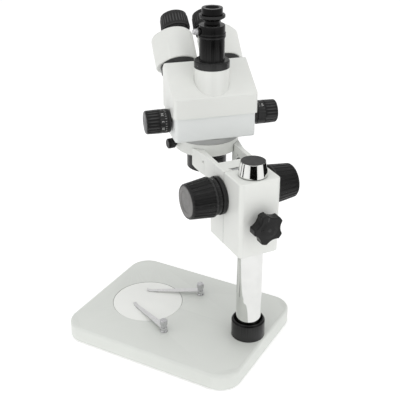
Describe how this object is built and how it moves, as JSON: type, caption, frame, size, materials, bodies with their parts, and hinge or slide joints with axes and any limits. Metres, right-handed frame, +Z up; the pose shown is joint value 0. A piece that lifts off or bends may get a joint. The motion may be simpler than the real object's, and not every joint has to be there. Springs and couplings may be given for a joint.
{
  "type": "stereo microscope",
  "caption": "Stereo zoom microscope with tilted eyepieces and a camera port, on a chrome pillar with a flat base, for close work on small parts.",
  "frame": {"origin": "centre of the base's footprint, on the plane of the feet's undersides", "axes": "+Z up along the pillar, -Y towards the base's front edge (user side), +X towards the user's right; the arm is swung and the head turned from straight ahead as the joints' rest pose"},
  "size_m": [0.2652, 0.2708, 0.4245],
  "materials": {
    "base_paint": "fine-textured white powder coat",
    "cast_paint": "white powder coat on an aluminium casting",
    "head_paint": "cool white powder coat on an aluminium casting",
    "stage_white": "opaque white",
    "chrome": "polished",
    "steel": "ground",
    "brass": "machined",
    "black_metal": "satin black anodised",
    "black_plastic": "ribbed black plastic",
    "grey_disc": "circular brushed",
    "dark_grey": "dark grey plastic",
    "rubber": "soft black rubber",
    "glass": "coated optical glass"
  },
  "bodies": {
    "stand": {"base_plate": "base_paint", "rubber_feet": "rubber", "stage_plate": "stage_white", "pillar": "chrome", "pillar_bolt": "steel", "pillar_collar": "black_metal", "pillar_cap": "chrome", "cap_insert": "dark_grey"},
    "clip_right": {"clip_post_right": "steel", "clip_spring_right": "steel"},
    "clip_left": {"clip_post_left": "steel", "clip_spring_left": "steel"},
    "sleeve": {"column_bush": "brass"},
    "block": {"focus_block": "cast_paint", "bush_ring": "black_metal", "dovetail_rail": "steel", "focus_rack": "steel"},
    "clamp": {"star_knob": "black_plastic", "clamp_stud": "steel"},
    "carriage": {"carriage": "cast_paint", "gib_strip": "brass", "tension_rings": "black_metal", "arm": "cast_paint", "arm_screws": "black_metal"},
    "pinion": {"pinion_shaft": "steel", "focus_knob_right": "black_plastic", "focus_knob_left": "black_plastic", "knob_faces": "grey_disc"},
    "lock": {"head_lock_screw": "black_plastic"},
    "head": {"head_body": "head_paint", "head_cover": "cast_paint", "mount_sleeve": "cast_paint", "objective_housing": "black_metal", "objective_ring": "black_metal", "objective_lens": "glass", "guide_rods": "steel", "beam_splitter": "glass", "port_flange": "black_metal", "phototube": "black_metal"},
    "zoom": {"zoom_shaft": "steel", "zoom_knob_right": "black_plastic", "zoom_knob_left": "black_plastic"},
    "upper_zoom": {"upper_zoom_carrier": "black_metal", "upper_zoom_lenses": "glass"},
    "lower_zoom": {"lower_zoom_carrier": "black_metal", "lower_zoom_lenses": "glass"},
    "eye_right": {"pivot_disc_right": "black_metal", "prism_housing_right": "cast_paint"},
    "eye_left": {"pivot_disc_left": "black_metal", "prism_housing_left": "cast_paint"},
    "diopter_right": {"diopter_ring_right": "black_metal"},
    "diopter_left": {"diopter_ring_left": "black_metal"},
    "eyepiece_right": {"eyepiece_right": "black_metal", "eyecup_right": "rubber", "eye_lens_right": "glass"},
    "eyepiece_left": {"eyepiece_left": "black_metal", "eyecup_left": "rubber", "eye_lens_left": "glass"},
    "camera_adapter": {"camera_adapter": "black_metal"},
    "port_screw": {"port_screw": "steel"}
  },
  "joints": [
    {"name": "clip_right_turn", "type": "hinge", "parent": "stand", "child": "clip_right", "pos_m": [0.0495, 0.0035, 0.023], "axis": [0, 0, 1], "range_deg": [-8, 60]},
    {"name": "clip_left_turn", "type": "hinge", "parent": "stand", "child": "clip_left", "pos_m": [-0.0495, 0.0035, 0.023], "axis": [0, 0, 1], "range_deg": [-60, 8]},
    {"name": "height_slide", "type": "slide", "parent": "stand", "child": "sleeve", "axis": [0, 0, 1], "range_m": [-0.1, 0]},
    {"name": "pillar_swing", "type": "hinge", "parent": "sleeve", "child": "block", "pos_m": [0, 0.1009, 0.2], "axis": [0, 0, 1], "continuous": true},
    {"name": "clamp_turn", "type": "hinge", "parent": "block", "child": "clamp", "pos_m": [0.01755, 0.12523, 0.1965], "axis": [0.585, 0.8111, 0], "range_deg": [0, 360]},
    {"name": "focus_slide", "type": "slide", "parent": "block", "child": "carriage", "axis": [0, 0, 1], "range_m": [-0.025, 0.025]},
    {"name": "focus_turn", "type": "hinge", "parent": "carriage", "child": "pinion", "pos_m": [-0.01813, 0.07576, 0.215], "axis": [0.8111, -0.585, 0], "range_deg": [-205, 205]},
    {"name": "lock_turn", "type": "hinge", "parent": "carriage", "child": "lock", "pos_m": [-0.03227, -0.02933, 0.2515], "axis": [0.8111, -0.585, 0], "range_deg": [0, 360]},
    {"name": "head_turn", "type": "hinge", "parent": "carriage", "child": "head", "pos_m": [-0.07283, -0.00008, 0.26], "axis": [0, 0, 1], "continuous": true},
    {"name": "zoom_turn", "type": "hinge", "parent": "head", "child": "zoom", "pos_m": [-0.05839, 0.01376, 0.2869], "axis": [0.6921, -0.7218, 0], "range_deg": [-70, 70]},
    {"name": "upper_zoom_slide", "type": "slide", "parent": "head", "child": "upper_zoom", "axis": [0, 0, 1], "range_m": [-0.0068, 0.0068]},
    {"name": "lower_zoom_slide", "type": "slide", "parent": "head", "child": "lower_zoom", "axis": [0, 0, 1], "range_m": [-0.0069, 0.0069]},
    {"name": "eye_right_swing", "type": "hinge", "parent": "head", "child": "eye_right", "pos_m": [-0.07187, -0.03864, 0.334], "axis": [-0.5104, -0.4894, 0.7071], "range_deg": [0, 85]},
    {"name": "eye_left_swing", "type": "hinge", "parent": "head", "child": "eye_left", "pos_m": [-0.11132, 0.0025, 0.334], "axis": [-0.5104, -0.4894, 0.7071], "range_deg": [-85, 0]},
    {"name": "diopter_right_turn", "type": "hinge", "parent": "eye_right", "child": "diopter_right", "pos_m": [-0.10989, -0.0654, 0.37006], "axis": [-0.5104, -0.4894, 0.7071], "range_deg": [-90, 90]},
    {"name": "eyepiece_right_pull", "type": "slide", "parent": "eye_right", "child": "eyepiece_right", "axis": [-0.5104, -0.4894, 0.7071], "range_m": [0, 0.016]},
    {"name": "diopter_left_turn", "type": "hinge", "parent": "eye_left", "child": "diopter_left", "pos_m": [-0.13965, -0.03437, 0.37006], "axis": [-0.5104, -0.4894, 0.7071], "range_deg": [-90, 90]},
    {"name": "eyepiece_left_pull", "type": "slide", "parent": "eye_left", "child": "eyepiece_left", "axis": [-0.5104, -0.4894, 0.7071], "range_m": [0, 0.016]},
    {"name": "camera_adapter_lift", "type": "slide", "parent": "head", "child": "camera_adapter", "axis": [0, 0, 1], "range_m": [0, 0.022]},
    {"name": "port_screw_turn", "type": "hinge", "parent": "head", "child": "port_screw", "pos_m": [-0.04311, 0.00071, 0.3963], "axis": [0.6921, -0.7218, 0], "range_deg": [0, 360]}
  ],
  "couplings": [
    {"joint": "focus_turn", "follows": "focus_slide", "rad_per_m": -142.86},
    {"joint": "zoom_turn", "follows": "upper_zoom_slide", "rad_per_m": -178.57},
    {"joint": "lower_zoom_slide", "follows": "upper_zoom_slide", "ratio": -1},
    {"joint": "eye_left_swing", "follows": "eye_right_swing", "ratio": -1}
  ]
}
